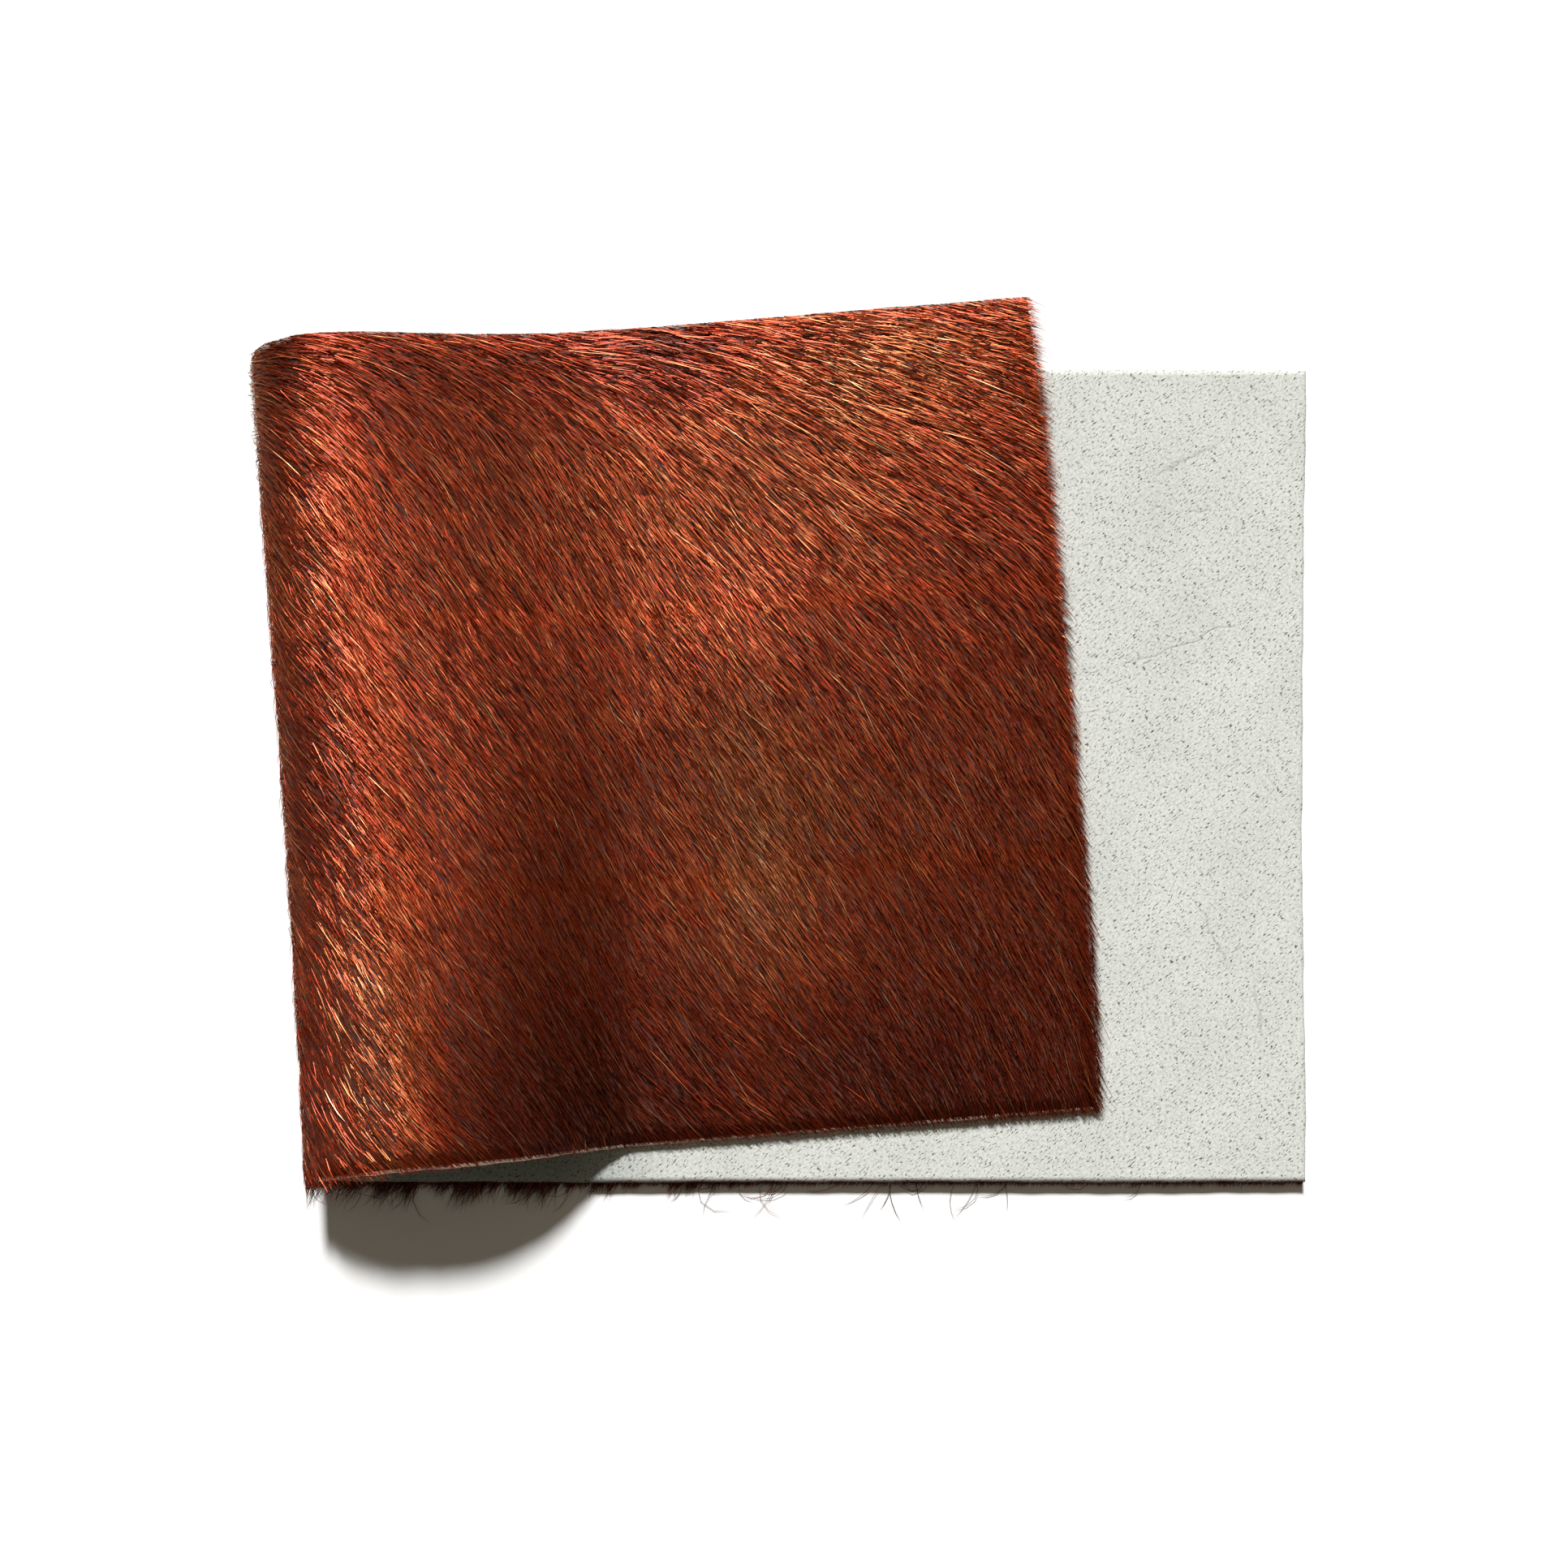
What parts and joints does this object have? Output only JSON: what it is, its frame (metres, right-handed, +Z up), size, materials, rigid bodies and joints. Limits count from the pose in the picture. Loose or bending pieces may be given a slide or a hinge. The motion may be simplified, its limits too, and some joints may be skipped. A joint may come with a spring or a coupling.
{
  "type": "folded hair-on hide",
  "caption": "Rectangular cut piece of brown hair-on hide, folded once over itself with the hair outside and a loose open loop at the fold.",
  "frame": {"origin": "the middle of the whole piece's base, on the surface that it lies on", "axes": "+X along the lower layer from the fold to its cut end, +Y across the strip to its back edge, +Z up"},
  "size_m": [0.2624, 0.2276, 0.0308],
  "materials": {
    "flesh_side": "matt pale suede, the flesh side of a tanned hide, with a short dark nap",
    "hair": "dense short red-brown hair, glossy along its lie"
  },
  "bodies": {
    "root": {"leather": "flesh_side", "hair_coat": "hair", "locks_lower_front": "hair", "locks_fold_front": "hair", "locks_upper_front": "hair", "locks_free_end": "hair"}
  },
  "joints": []
}
